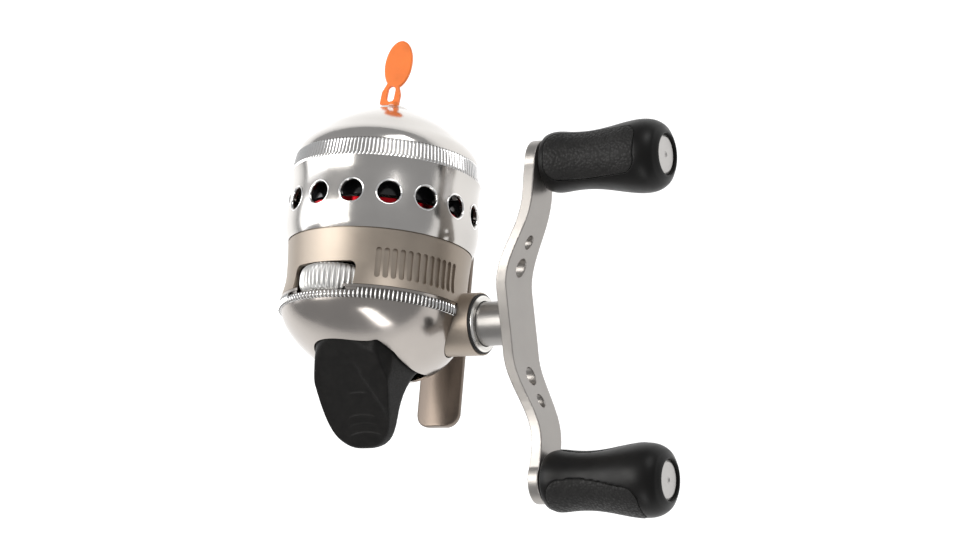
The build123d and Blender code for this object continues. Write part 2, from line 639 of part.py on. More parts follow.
with BuildPart() as drive_gear:
    add(ring(GEAR_FACE_X, GEAR_FACE_X + 1.8, SHAFT_R + 0.02, 12.0, CRANK_PROFILE))
    add(ring(GEAR_FACE_X + 1.8, 7.6, SHAFT_R + 0.02, 4.5, CRANK_PROFILE))
    add(ring(GEAR_FACE_X - 1.2, GEAR_FACE_X, SHAFT_R + 0.02, 4.5, CRANK_PROFILE))
    with BuildSketch(beside(GEAR_FACE_X)):
        with PolarLocations(7.1, 6):
            Circle(1.5)
    extrude(amount=2, mode=Mode.SUBTRACT)
    with BuildSketch(beside(GEAR_FACE_X + 0.01)):
        with PolarLocations(0, GEAR_TEETH):
            with Locations((MESH_Y, CRANK_DROP)):
                Rectangle(TOOTH_LENGTH, TOOTH_W)
    extrude(amount=-(2 * TOOTH_ADD + 0.25))
    tooth_ring = ring(GEAR_FACE_X - 3, GEAR_FACE_X + 5, SHAFT_R + 0.02, 12.0, CRANK_PROFILE)
    add(tooth_ring, mode=Mode.INTERSECT)
pieces["drive_gear"] = drive_gear.part

pieces["gear_clip"] = ring(7.7, 8.4, SHAFT_R + 0.02, 4.6, CRANK_PROFILE)

pieces["handle_hub"] = turned(
    [(HUB_START, SHAFT_R + 0.03), (SHAFT_STOP + 0.1, SHAFT_R + 0.03), (SHAFT_STOP + 0.1, 1.24),
     (HUB_STOP - HUB_WALL, 1.24), (HUB_STOP - HUB_WALL, 0), (HUB_STOP, 0), (HUB_STOP, HUB_R),
     (HUB_START + 0.4, HUB_R), (HUB_START, HUB_R - 0.4)],
    CRANK_PROFILE,
)

with BuildPart() as handle_screw:
    head = Plane(origin=(SHAFT_START - 0.05, CRANK_Y, CRANK_Z), z_dir=(-1, 0, 0))
    add(screw(head, 4.2, 1.6, 1.22, 58.3))
pieces["handle_screw"] = handle_screw.part

# ---------------------------------------------------------------- handle arm
ARM_FACE = 42.8          # outer face of the arm at its middle
ARM_RISE = 7.3           # the ends stand this much further out
ARM_FLAT = 9.0           # half length of the straight middle
ARM_RAMP = 24.0          # length over which the arm rises
HOLE_NEAR = (14.6, 2.5)  # lightening holes: distance from the crank axis, radius
HOLE_FAR = (21.4, 1.85)


def arm_height(s):
    """How far the arm's face stands out at s along the handle, over its middle."""
    run = min(max((abs(s) - ARM_FLAT) / ARM_RAMP, 0), 1)
    return ARM_RISE * run * run * (3 - 2 * run)


def arm_shift(s):
    """Sideways S of the arm's centre line at s along the handle."""
    return ARM_SWEEP * math.sin(math.pi * s / (HANDLE_SPAN / 2 + 2.5))


def arm_half_width(s):
    """Half the arm's width at s along the handle."""
    run = min(max((abs(s) - 12) / 21, 0), 1)
    return (ARM_WAIST + (ARM_WIDTH - ARM_WAIST) * run * run * (3 - 2 * run)) / 2


stations = [HANDLE_SPAN / 2 * step / 8 for step in range(-8, 9)]
bow_plane = Plane(origin=(0, CRANK_Y, CRANK_Z), x_dir=HANDLE_U, z_dir=-HANDLE_W)

with BuildPart() as handle_arm:
    with BuildSketch(bow_plane):
        with BuildLine():
            reach = HANDLE_SPAN / 2 + 8
            outer = [(s, ARM_FACE + arm_height(s)) for s in stations]
            inner = [(s, ARM_FACE - ARM_THICK + arm_height(s)) for s in reversed(stations)]
            end_x = ARM_FACE + ARM_RISE
            Spline(*outer)
            Polyline(outer[-1], (reach, end_x), (reach, end_x - ARM_THICK), inner[0])
            Spline(*inner)
            Polyline(inner[-1], (-reach, end_x - ARM_THICK), (-reach, end_x), outer[0])
        make_face()
    extrude(amount=15, both=True)
    with BuildSketch(beside_handle(35)):
        with BuildLine():
            upper = [(s, arm_shift(s) + arm_half_width(s)) for s in stations]
            lower = [(s, arm_shift(s) - arm_half_width(s)) for s in reversed(stations)]
            Spline(*upper)
            Line(upper[-1], lower[0])
            Spline(*lower)
            Line(lower[-1], upper[0])
        make_face()
        with Locations((HANDLE_SPAN / 2, 0.5), (-HANDLE_SPAN / 2, -0.5)):
            Circle(ARM_WIDTH / 2 + 0.3)
    extrude(amount=20, mode=Mode.INTERSECT)
    for side in (-1, 1):
        with BuildSketch(beside_handle(60)):
            for distance, radius in (HOLE_NEAR, HOLE_FAR):
                with Locations((side * distance, arm_shift(side * distance))):
                    Circle(radius)
        extrude(amount=-30, mode=Mode.SUBTRACT)
        with BuildSketch(beside_handle(60)):
            with Locations((side * HANDLE_SPAN / 2, 0)):
                Circle(KNOB_PIN_R)
        extrude(amount=-30, mode=Mode.SUBTRACT)
pieces["handle_arm"] = handle_arm.part

# ---------------------------------------------------------------- knobs
KNOB_OUTLINE = ((51.4, 7.6), (53.5, 8.3), (57.5, 8.15), (62, 7.9), (67, 8.2), (72, 9.0), (76.5, 9.75),
                (80, 10.0), (83.3, 9.45), (85.4, 8.1))
PAD_DEPTH = 1.2
PAD_PROUD = 0.12         # the pads stand this much over the knob
PAD_X = (53.2, 80.6)
PAD_WIDTH = 12.8
PIN_HEAD_X = 81.6
CAP_R = 5.55
CAP_X = 84.6
arm_end_face = ARM_FACE + ARM_RISE
rivet_x = arm_end_face - ARM_THICK - 0.12

for label, side, roll in (("front", 1, -88.0), ("rear", -1, -27.0)):
    profile = knob_profile(side)
    axis = Axis(profile.origin, profile.x_dir)
    facing = Plane(origin=profile.origin, x_dir=(1, 0, 0), z_dir=(0, -1, 0)).rotated((roll, 0, 0))

    with BuildPart() as knob_pads:
        with BuildSketch(profile):
            with BuildLine():
                skin = [(x, r + PAD_PROUD) for x, r in KNOB_OUTLINE]
                Spline(*skin)
                Line(skin[-1], (skin[-1][0], skin[-1][1] - PAD_DEPTH))
                Spline(*[(x, r - PAD_DEPTH) for x, r in skin[::-1]])
                Line((skin[0][0], skin[0][1] - PAD_DEPTH), skin[0])
            make_face()
        revolve(axis=axis)
        with BuildSketch(Plane(origin=profile.origin, x_dir=(1, 0, 0), z_dir=facing.z_dir)):
            with Locations(((PAD_X[0] + PAD_X[1]) / 2, 0)):
                RectangleRounded(PAD_X[1] - PAD_X[0], PAD_WIDTH, 3.4)
        extrude(amount=14, both=True, mode=Mode.INTERSECT)
    pieces[f"{label}_knob_pads"] = knob_pads.part

    with BuildPart() as knob:
        with BuildSketch(profile):
            with BuildLine():
                Polyline((KNOB_START, KNOB_PIN_R + RUN), (KNOB_START, 6.4), KNOB_OUTLINE[0])
                Spline(*KNOB_OUTLINE)
                Polyline(KNOB_OUTLINE[-1], (86.3, 6.6), (KNOB_END, 5.9), (KNOB_END, CAP_R + RUN),
                         (CAP_X, CAP_R + RUN), (CAP_X, 4.4), (PIN_HEAD_X - 0.1, 4.4),
                         (PIN_HEAD_X - 0.1, KNOB_PIN_R + RUN), (KNOB_START, KNOB_PIN_R + RUN))
            make_face()
        revolve(axis=axis)
        add(knob_pads.part, mode=Mode.SUBTRACT)
    pieces[f"{label}_knob"] = knob.part

    pieces[f"{label}_knob_cap"] = turned(
        [(CAP_X + 0.02, 0), (CAP_X + 1.0, 0), (CAP_X + 1.0, 0.6), (CAP_X + 1.3, 0.9), (CAP_X + 1.3, 4.7),
         (CAP_X + 0.9, CAP_R), (CAP_X + 0.02, CAP_R)], profile)
    pieces[f"{label}_knob_pin"] = turned(
        [(rivet_x - 1.0, 0), (rivet_x - 1.0, 2.8), (rivet_x - 0.5, 3.8), (rivet_x, 3.8),
         (rivet_x, KNOB_PIN_R - 0.01), (PIN_HEAD_X, KNOB_PIN_R - 0.01),
         (PIN_HEAD_X, 3.9), (PIN_HEAD_X + 1.2, 3.9), (PIN_HEAD_X + 1.2, 0)], profile)
    pieces[f"{label}_knob_washer"] = ring(
        arm_end_face + 0.05, KNOB_START - 0.1, KNOB_PIN_R + RUN, 5.0, profile
    )

# ---------------------------------------------------------------- drag dial
DIAL_Y = (-17.5, -10.0)
DIAL_BORE_R = 1.85

with BuildPart() as drag_dial:
    with BuildSketch(dial_profile):
        with BuildLine():
            Polyline((DIAL_Y[0], DIAL_BORE_R), (DIAL_Y[0], DIAL_R - 1.6),
                     (DIAL_Y[0] + 0.9, DIAL_R - 0.5))
            ThreePointArc((DIAL_Y[0] + 0.9, DIAL_R - 0.5), (-13.75, DIAL_R),
                          (DIAL_Y[1] - 0.9, DIAL_R - 0.5))
            Polyline((DIAL_Y[1] - 0.9, DIAL_R - 0.5), (DIAL_Y[1], DIAL_R - 1.6), (DIAL_Y[1], DIAL_BORE_R),
                     (DIAL_Y[0], DIAL_BORE_R))
        make_face()
    revolve(axis=Axis(dial_profile.origin, dial_profile.x_dir))
    dial_front = dial_profile.origin + Vector(0, DIAL_Y[1] + 1, 0)
    with BuildSketch(Plane(origin=dial_front, x_dir=(1, 0, 0), z_dir=(0, -1, 0))):
        with PolarLocations(DIAL_R + 0.22, DIAL_FLUTES):
            Circle(0.52)
    extrude(amount=10, mode=Mode.SUBTRACT)
pieces["drag_dial"] = drag_dial.part

pieces["dial_stud"] = turned(
    [(-18.5, 0), (-18.5, DIAL_BORE_R - RUN), (-5.2, DIAL_BORE_R - RUN), (-5.2, 3.4),
     (DECK[0] - 0.05, 3.4), (DECK[0] - 0.05, 0)],
    dial_profile,
)
pieces["dial_clip"] = ring(-18.2, -17.6, DIAL_BORE_R, 3.3, dial_profile)

# ---------------------------------------------------------------- one STEP for each piece
for name, piece in pieces.items():
    solid = piece.part if hasattr(piece, "part") else piece
    solid.label = name
    export_step(solid, f"parts/{name}.step")
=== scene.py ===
"""Looks of the spincast reel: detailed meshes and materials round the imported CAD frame."""
import json
import math

import bmesh
import bpy
import numpy as np
from mathutils import Matrix, Vector


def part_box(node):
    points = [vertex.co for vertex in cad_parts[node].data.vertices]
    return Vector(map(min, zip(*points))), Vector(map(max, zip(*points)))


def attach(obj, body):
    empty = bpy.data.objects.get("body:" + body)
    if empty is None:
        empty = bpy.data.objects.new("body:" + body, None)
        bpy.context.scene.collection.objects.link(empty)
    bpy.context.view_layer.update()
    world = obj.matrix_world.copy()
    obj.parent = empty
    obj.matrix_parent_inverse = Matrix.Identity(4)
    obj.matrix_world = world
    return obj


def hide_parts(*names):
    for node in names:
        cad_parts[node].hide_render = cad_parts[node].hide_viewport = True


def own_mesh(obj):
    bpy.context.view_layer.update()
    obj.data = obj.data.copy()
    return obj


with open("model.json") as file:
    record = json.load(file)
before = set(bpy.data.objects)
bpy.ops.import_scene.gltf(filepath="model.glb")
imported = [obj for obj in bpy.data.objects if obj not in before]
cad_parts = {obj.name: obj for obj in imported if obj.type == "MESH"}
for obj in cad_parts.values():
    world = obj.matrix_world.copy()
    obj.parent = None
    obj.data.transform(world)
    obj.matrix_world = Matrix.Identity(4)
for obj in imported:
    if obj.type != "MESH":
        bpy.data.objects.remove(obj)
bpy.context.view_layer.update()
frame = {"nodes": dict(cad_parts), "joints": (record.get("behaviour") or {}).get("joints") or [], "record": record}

MM = 0.001


# ---------------------------------------------------------------- places, read from the frame, in mm
def joint_mm(name):
    """A joint's point in mm."""
    joints = {joint["name"]: joint for joint in frame["joints"]}
    return Vector(joints[name]["pos_m"]) / MM


def span_mm(node):
    """A node's lowest and highest corners in mm."""
    low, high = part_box(node)
    return Vector(low) / MM, Vector(high) / MM


AXIS_Z = joint_mm("spindle_spin").z
SEAM_Y = span_mm("front_cover")[0].y
SEAM_CENTRE = (0, SEAM_Y, AXIS_Z)
CRANK = joint_mm("crank_turn")
DIAL = joint_mm("drag_dial_turn")


def turn_spindle(station, radius, theta):
    """Point from a station ahead of the seam, a radius and an angle from the top to the crank side."""
    return (radius * math.sin(theta), SEAM_Y + station, AXIS_Z + radius * math.cos(theta))


# ---------------------------------------------------------------- curves
def smooth_curve(points):
    """Natural cubic spline through points, by chord length: f(t in 0..1) gives an array of points."""
    pts = np.array(points, float)
    chord = np.concatenate([[0], np.cumsum(np.linalg.norm(np.diff(pts, axis=0), axis=1))])
    n = len(pts)
    h = np.diff(chord)
    matrix = np.zeros((n, n))
    right = np.zeros((n, pts.shape[1]))
    matrix[0, 0] = matrix[-1, -1] = 1
    for i in range(1, n - 1):
        matrix[i, i - 1] = h[i - 1]
        matrix[i, i] = 2 * (h[i - 1] + h[i])
        matrix[i, i + 1] = h[i]
        right[i] = 6 * ((pts[i + 1] - pts[i]) / h[i] - (pts[i] - pts[i - 1]) / h[i - 1])
    second = np.linalg.solve(matrix, right)

    def value(t):
        s = np.clip(np.atleast_1d(t), 0, 1) * chord[-1]
        i = np.clip(np.searchsorted(chord, s, side="right") - 1, 0, n - 2)
        a = ((chord[i + 1] - s) / h[i])[:, None]
        b = ((s - chord[i]) / h[i])[:, None]
        hh = (h[i] ** 2)[:, None] / 6
        return a * pts[i] + b * pts[i + 1] + ((a**3 - a) * second[i] + (b**3 - b) * second[i + 1]) * hh

    return value


def smoothstep(x):
    """Rises from 0 to 1 as x does, without a kink at either end."""
    x = np.clip(x, 0, 1)
    return x * x * (3 - 2 * x)


# ---------------------------------------------------------------- mesh helpers
def link_object(name, data):
    """A new object in the scene, from a mesh, a light's data or a camera's data."""
    piece = bpy.data.objects.new(name, data)
    bpy.context.scene.collection.objects.link(piece)
    return piece


def make_object(name, verts_mm, faces, sharp, weld=False):
    """A smooth mesh object from vertices in mm, with sharp edges over an angle in degrees."""
    mesh = bpy.data.meshes.new(name)
    mesh.from_pydata([Vector(v) * MM for v in verts_mm], [], faces)
    bm = bmesh.new()
    bm.from_mesh(mesh)
    if weld:
        bmesh.ops.remove_doubles(bm, verts=bm.verts, dist=1e-6)
    bmesh.ops.recalc_face_normals(bm, faces=bm.faces)
    bm.to_mesh(mesh)
    bm.free()
    mesh.polygons.foreach_set("use_smooth", [True] * len(mesh.polygons))
    mesh.set_sharp_from_angle(angle=math.radians(sharp))
    mesh.update()
    return link_object(name, mesh)


def place(piece, body, slot, material, *nodes):
    """Gives a piece its material and its body, and says which CAD nodes it stands for."""
    piece.data.materials.clear()
    piece.data.materials.append(material)
    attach(piece, body)
    if nodes:
        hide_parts(*nodes)


def loop_faces(rows, columns, start=0):
    """Quads between rows of columns points, closed both along the rows and across them."""
    faces = []
    for r in range(rows):
        below, above = start + r * columns, start + (r + 1) % rows * columns
        for c in range(columns):
            n = (c + 1) % columns
            faces.append([below + c, below + n, above + n, above + c])
    return faces


def lathe(name, profile, segments, sharp):
    """A piece turned about the spindle's axis: profile is a closed loop of (station, radius)."""
    turns = [2 * math.pi * c / segments for c in range(segments)]
    verts = [turn_spindle(station, radius, theta) for station, radius in profile for theta in turns]
    return make_object(name, verts, loop_faces(len(profile), segments), sharp, weld=True)


def fluted_ring(name, profile, flutes, depth, point=turn_spindle, columns=8, kept=None):
    """A ring with rounded flutes: profile is (station, radius, share of depth), point places it.

    kept says which angles the ring has: it is left out at the others.
    """
    total = flutes * columns
    theta = np.arange(total) * 2 * math.pi / total
    wave = 0.5 - 0.5 * np.cos(theta * flutes)
    verts = []
    for station, radius, share in profile:
        for c in range(total):
            verts.append(point(station, radius - depth * share * wave[c], theta[c]))
    faces = loop_faces(len(profile), total)
    if kept is not None:
        has = [kept(angle) for angle in theta]
        faces = [face for index, face in enumerate(faces) if has[index % total]]
    return make_object(name, verts, faces, FLUTE_SHARP)


def plain_ring(name, profile, kept=None):
    """A ring without flutes: profile is (station, radius)."""
    return fluted_ring(name, [(*corner, 0) for corner in profile], 90, 0, columns=4, kept=kept)


def apply_modifiers(piece):
    """Replaces the piece's mesh by what its modifiers give."""
    depsgraph = bpy.context.evaluated_depsgraph_get()
    mesh = bpy.data.meshes.new_from_object(piece.evaluated_get(depsgraph))
    piece.modifiers.clear()
    old = piece.data
    piece.data = mesh
    bpy.data.meshes.remove(old)


def add_smoothing(piece, rounds):
    """A modifier that evens the mesh out, round by round."""
    smooth = piece.modifiers.new("smooth", "SMOOTH")
    smooth.factor = 0.5
    smooth.iterations = rounds


def soften(node, name, voxel_mm, rounds):
    """A copy of a CAD node's shape with evenly rounded edges, as a dense smooth mesh."""
    bm = bmesh.new()
    bm.from_mesh(frame["nodes"][node].data)
    bmesh.ops.remove_doubles(bm, verts=bm.verts, dist=2e-6)
    mesh = bpy.data.meshes.new(name)
    bm.to_mesh(mesh)
    bm.free()
    piece = link_object(name, mesh)
    remesh = piece.modifiers.new("remesh", "REMESH")
    remesh.mode = "VOXEL"
    remesh.voxel_size = voxel_mm * MM
    add_smoothing(piece, rounds)
    apply_modifiers(piece)
    piece.data.polygons.foreach_set("use_smooth", [True] * len(piece.data.polygons))
    return piece


def shape_arrays(mesh):
    """Vertex places in mm and vertex normals of a mesh."""
    place_mm = np.empty(len(mesh.vertices) * 3)
    mesh.vertices.foreach_get("co", place_mm)
    normal = np.empty(len(mesh.vertices) * 3)
    mesh.vertex_normals.foreach_get("vector", normal)
    return place_mm.reshape(-1, 3) / MM, normal.reshape(-1, 3)


def set_places(mesh, place_mm):
    mesh.vertices.foreach_set("co", (place_mm * MM).ravel())
    mesh.update()


# ---------------------------------------------------------------- materials
# Texture scales are per metre, and bumps are in mm.
NOISE_LOW, NOISE_HIGH = 0.3, 0.7      # nearly all values of a noise texture lie between these
TURN_SHARE = 0.0006                   # metres of texture per radian: turning lines hardly change round


class Shader:
    """A small builder of node materials."""

    def __init__(self, name, color, metallic=0.0, roughness=0.5, **sockets):
        self.material = bpy.data.materials.new(name)
        self.material.use_nodes = True
        self.tree = self.material.node_tree
        self.bsdf = self.tree.nodes["Principled BSDF"]
        self.bsdf.inputs["Base Color"].default_value = (*color, 1)
        self.bsdf.inputs["Metallic"].default_value = metallic
        self.bsdf.inputs["Roughness"].default_value = roughness
        for socket, value in sockets.items():
            self.bsdf.inputs[socket.replace("_", " ")].default_value = value
        self.height = None

    def node(self, kind, operation=None):
        made = self.tree.nodes.new(kind)
        if operation:
            made.operation = operation
        return made

    def link(self, source, target):
        self.tree.links.new(source, target)

    def coordinates(self):
        """Object coordinates, which are row-frame metres."""
        return self.node("ShaderNodeTexCoord").outputs["Object"]

    def turned_coordinates(self, centre, axis):
        """(station, radius, a little angle) about an axis along X or Y, in metres."""
        shift = self.node("ShaderNodeVectorMath", "SUBTRACT")
        self.link(self.coordinates(), shift.inputs[0])
        shift.inputs[1].default_value = Vector(centre) * MM
        split = self.node("ShaderNodeSeparateXYZ")
        self.link(shift.outputs[0], split.inputs[0])
        flat = self.node("ShaderNodeCombineXYZ")
        other = "X" if axis == "Y" else "Y"
        self.link(split.outputs[other], flat.inputs["X"])
        self.link(split.outputs["Z"], flat.inputs["Y"])
        length = self.node("ShaderNodeVectorMath", "LENGTH")
        self.link(flat.outputs[0], length.inputs[0])
        angle = self.node("ShaderNodeMath", "ARCTAN2")
        self.link(split.outputs[other], angle.inputs[0])
        self.link(split.outputs["Z"], angle.inputs[1])
        small = self.node("ShaderNodeMath", "MULTIPLY")
        self.link(angle.outputs[0], small.inputs[0])
        small.inputs[1].default_value = TURN_SHARE
        out = self.node("ShaderNodeCombineXYZ")
        self.link(split.outputs[axis], out.inputs["X"])
        self.link(length.outputs["Value"], out.inputs["Y"])
        self.link(small.outputs[0], out.inputs["Z"])
        return out.outputs[0]

    def noise(self, vector, scale, detail):
        """Cloudy values about a half."""
        made = self.node("ShaderNodeTexNoise")
        made.inputs["Scale"].default_value = scale
        made.inputs["Detail"].default_value = detail
        made.inputs["Roughness"].default_value = 0.55
        self.link(vector, made.inputs["Vector"])
        return made.outputs["Fac"]

    def cells(self, vector, scale):
        """Distance to the nearest of scattered points."""
        made = self.node("ShaderNodeTexVoronoi")
        made.inputs["Scale"].default_value = scale
        self.link(vector, made.inputs["Vector"])
        return made.outputs["Distance"]

    def tint(self, source, dark, light):
        """Base colour from a source between two colours."""
        ramp = self.node("ShaderNodeValToRGB")
        ends = ramp.color_ramp.elements
        for end, color, position in ((ends[0], dark, NOISE_LOW), (ends[1], light, NOISE_HIGH)):
            end.color = (*color, 1)
            end.position = position
        self.link(source, ramp.inputs["Fac"])
        self.link(ramp.outputs["Color"], self.bsdf.inputs["Base Color"])

    def rough(self, source, low, high):
        """Roughness from a source, between low and high."""
        made = self.node("ShaderNodeMapRange")
        limits = {"From Min": NOISE_LOW, "From Max": NOISE_HIGH, "To Min": low, "To Max": high}
        for key, value in limits.items():
            made.inputs[key].default_value = value
        self.link(source, made.inputs["Value"])
        self.link(made.outputs["Result"], self.bsdf.inputs["Roughness"])

    def bump(self, source, distance_mm, strength):
        """Adds a bump on top of those before it."""
        made = self.node("ShaderNodeBump")
        made.inputs["Strength"].default_value = strength
        made.inputs["Distance"].default_value = distance_mm * MM
        self.link(source, made.inputs["Height"])
        if self.height is not None:
            self.link(self.height, made.inputs["Normal"])
        self.height = made.outputs["Normal"]
        self.link(self.height, self.bsdf.inputs["Normal"])


def shaded(color, share):
    """A colour made darker or lighter by a share."""
    return [c * share for c in color]


def polished_metal(name, color, centre, axis, low, high, lines_mm=0.0012):
    """Polished metal with faint turning lines round an axis, soft stains and a slight waviness."""
    s = Shader(name, color, metallic=1.0, roughness=low)
    turned = s.turned_coordinates(centre, axis)
    lines = s.noise(turned, 5200, 3)
    stains = s.noise(s.coordinates(), 95, 3)
    s.rough(stains, low, high)
    s.tint(stains, shaded(color, 0.93), color)
    s.bump(lines, lines_mm, 0.6)
    s.bump(s.noise(s.coordinates(), 70, 1), 0.02, 0.35)
    return s.material


def satin_metal(name, color, low, high, metallic=0.9):
    """Bead-blasted or satin-coated metal: fine grain, small roughness changes, softly worn tone."""
    s = Shader(name, color, metallic=metallic, roughness=low)
    grain = s.noise(s.coordinates(), 6500, 2)
    cloud = s.noise(s.coordinates(), 120, 4)
    s.rough(cloud, low, high)
    s.tint(cloud, shaded(color, 0.9), color)
    s.bump(grain, 0.004, 0.5)
    return s.material


def pebbled_rubber(name, color, cell, depth_mm, low, high, specular):
    """Rubber with a moulded pebble grain."""
    s = Shader(name, color, roughness=low, Specular_IOR_Level=specular)
    where = s.coordinates()
    pebbles = s.cells(where, cell)
    s.rough(pebbles, low, high)
    s.tint(s.noise(where, 400, 3), shaded(color, 0.75), shaded(color, 1.35))
    s.bump(pebbles, depth_mm, 0.8)
    s.bump(s.noise(where, 3500, 3), 0.01, 0.5)
    return s.material


def moulded_plastic(name, color, low, high, grain_mm=0.006, specular=0.5):
    """Moulded plastic: a fine spark-eroded grain and faint handling marks."""
    s = Shader(name, color, roughness=low, Specular_IOR_Level=specular)
    where = s.coordinates()
    s.rough(s.noise(where, 260, 4), low, high)
    s.tint(s.noise(where, 150, 3), shaded(color, 0.9), shaded(color, 1.08))
    s.bump(s.noise(where, 4200, 2), grain_mm, 0.5)
    return s.material


def spindle_metal(name, color, *looks):
    """Polished metal turned about the spindle's axis."""
    return polished_metal(name, color, SEAM_CENTRE, "Y", *looks)


COVER = spindle_metal("polished_aluminium", (0.63, 0.605, 0.575), 0.14, 0.21)
# The rear cover's polished aluminium is a darker copy of the cover's own: painted shade for the dimmer dome.
DOME_SHADED = spindle_metal("polished_dome_painted_shade", (0.44, 0.405, 0.375), 0.15, 0.22)
# A brighter copy of the polished aluminium for the coin-edged bars and the hole bevels: painted highlight.
RIM_PAINTED_HIGHLIGHT = spindle_metal("coin_edge_aluminium_painted_highlight", (0.95, 0.94, 0.93), 0.1, 0.16)
RECESS = satin_metal("recess_shadow", (0.10, 0.092, 0.085), 0.4, 0.5, 0.7)
BAND_RECESS = satin_metal("band_shadow", (0.34, 0.325, 0.31), 0.35, 0.45, 0.8)
CHAMPAGNE = satin_metal("satin_champagne", (0.385, 0.328, 0.272), 0.4, 0.48, 0.85)
# A darker copy of the satin champagne for the foot below the body: painted shade.
CHAMPAGNE_SHADED_FOOT = satin_metal("satin_champagne_foot_painted_shade", (0.19, 0.153, 0.125), 0.28, 0.36, 0.85)
SILVER = satin_metal("satin_silver", (0.74, 0.73, 0.71), 0.36, 0.46)
ARM = satin_metal("satin_silver_arm", (0.365, 0.345, 0.325), 0.34, 0.42)
HUB_GREY = satin_metal("satin_grey", (0.31, 0.298, 0.285), 0.34, 0.42, 0.85)
KNOB_CAP = satin_metal("cap_aluminium", (0.50, 0.485, 0.47), 0.32, 0.42)
RETAINER = satin_metal("retainer_aluminium", (0.86, 0.84, 0.80), 0.22, 0.32, 0.95)
STEEL = spindle_metal("machined_steel", (0.62, 0.62, 0.64), 0.16, 0.28, 0.004)
CRANK_STEEL = polished_metal("turned_steel", (0.66, 0.66, 0.67), CRANK, "X", 0.16, 0.28, 0.004)
BRASS = spindle_metal("machined_brass", (0.78, 0.56, 0.25), 0.18, 0.3, 0.004)
RED = spindle_metal("red_anodised", (0.42, 0.008, 0.014), 0.16, 0.26)
BLACK_GLOSS = moulded_plastic("black_gloss", (0.012, 0.012, 0.013), 0.07, 0.14, 0.001, 0.7)
BLACK_PLASTIC = moulded_plastic("black_plastic", (0.016, 0.0155, 0.015), 0.3, 0.42, 0.004)
KNOB_PLASTIC = moulded_plastic("knob_plastic", (0.005, 0.0047, 0.0044), 0.34, 0.44, 0.003, 0.19)
RUBBER = pebbled_rubber("black_rubber", (0.0095, 0.009, 0.0085), 1300, 0.2, 0.48, 0.66, 0.26)
BUTTON_RUBBER = pebbled_rubber("button_rubber", (0.0065, 0.006, 0.0055), 2600, 0.01, 0.42, 0.55, 0.17)
SEAL = moulded_plastic("seal_rubber", (0.008, 0.008, 0.008), 0.5, 0.65)
ORANGE = moulded_plastic("orange_plastic", (0.90, 0.20, 0.028), 0.36, 0.48, 0.01)
LINE = moulded_plastic("clear_line", (0.62, 0.66, 0.58), 0.2, 0.3, 0.004)
FELT = moulded_plastic("oiled_felt", (0.12, 0.105, 0.09), 0.8, 0.95, 0.08, 0.2)
CERAMIC = moulded_plastic("ceramic", (0.85, 0.84, 0.8), 0.12, 0.2, 0.001)

SLOT_MATERIAL = {
    "polished_aluminium": COVER, "satin_champagne": CHAMPAGNE, "satin_silver": SILVER, "steel": STEEL,
    "brass": BRASS, "red_anodised": RED, "black_gloss": BLACK_GLOSS, "black_rubber": RUBBER,
    "black_plastic": BLACK_PLASTIC, "orange_plastic": ORANGE, "clear_line": LINE, "felt": FELT,
    "ceramic": CERAMIC,
}
OWN_MATERIAL = {
    "rear_cover": DOME_SHADED, "handle_hub": HUB_GREY, "crank_seal": SEAL, "crank_retainer": RETAINER,
    "front_knob_cap": KNOB_CAP, "rear_knob_cap": KNOB_CAP,
}
TURNED_ALONG_CRANK = ("crankshaft", "handle_screw", "front_knob_pin", "rear_knob_pin",
                      "crank_bearing_left", "crank_bearing_right", "anti_reverse_clutch")
OWN_MATERIAL.update(dict.fromkeys(TURNED_ALONG_CRANK, CRANK_STEEL))


def dress_cad_nodes():
    """Every CAD node takes the material of its slot, or a closer one of its own."""
    for part in frame["record"]["subparts"]:
        node = frame["nodes"][part["node"]]
        node.data.materials.clear()
        material = OWN_MATERIAL.get(part["node"], SLOT_MATERIAL[part["material_slot"]])
        node.data.materials.append(material)


# ---------------------------------------------------------------- front cover
# Sizes are in mm and stations are ahead of the seam between the front cover and the body.
FLUTE_SHARP = 60                  # edges of the fluted rings stay sharp over this angle, in degrees
BAND_START, BAND_END = 20.22, 25.38
BAND_SEAT, BAND_SEAT_R = 20.2, 26.72
BAND_TAPER = 0.165                # radius lost per mm of station
BAND_ROOTS = (26.0, 25.1)         # radii where the band is buried in the cover, at its two ends
BAND_LIP = 0.25                   # from the band's ends to where its bars have their full height
BAND_PROUD = 0.14                 # how far the bars stand over the taper, and their floor lies under it
BAND_ROWS = 9
FLOOR_IN, FLOOR_ROOTS = 0.3, (25.4, 25.0)     # of the plain ring that lies between the bars
BAND_FLUTES, BAND_DEPTH = 150, 0.4

HOLE_COUNT = 16
HOLE_TURN = math.pi / 16
HOLE_STATION = 9.9
HOLE_STEPS = 72
HOLE_BEVEL = ((3.68, -0.04), (3.6, 0.04), (3.42, 0.05), (3.24, -0.06), (3.2, -0.3), (3.5, -0.3))
COVER_CURVE = smooth_curve([(0, 25.9), (2, 26.6), (9, 27), (20.2, 26.65)])
COVER_LENGTH = 20.4               # of that curve, from the seam to the band

NOSE_BORE, NOSE_NECK = 1.75, 3.35
NOSE_OUTLINE = ((1.7, 5.25), (0.95, 4.5), (0.3, 3.3), (0.03, 2.35))   # (behind the tip, radius)
NOSE_BACK = 1.75                  # behind the tip, where the neck ends
NOSE_MOUTH = ((0.2, 1.85), (0.6, NOSE_BORE))                          # (behind the tip, radius)
NOSE_ROWS, NOSE_SEGMENTS, NOSE_SHARP = 14, 160, 50


def band_taper(station):
    """Radius of the band's tapering seat."""
    return BAND_SEAT_R - (station - BAND_SEAT) * BAND_TAPER


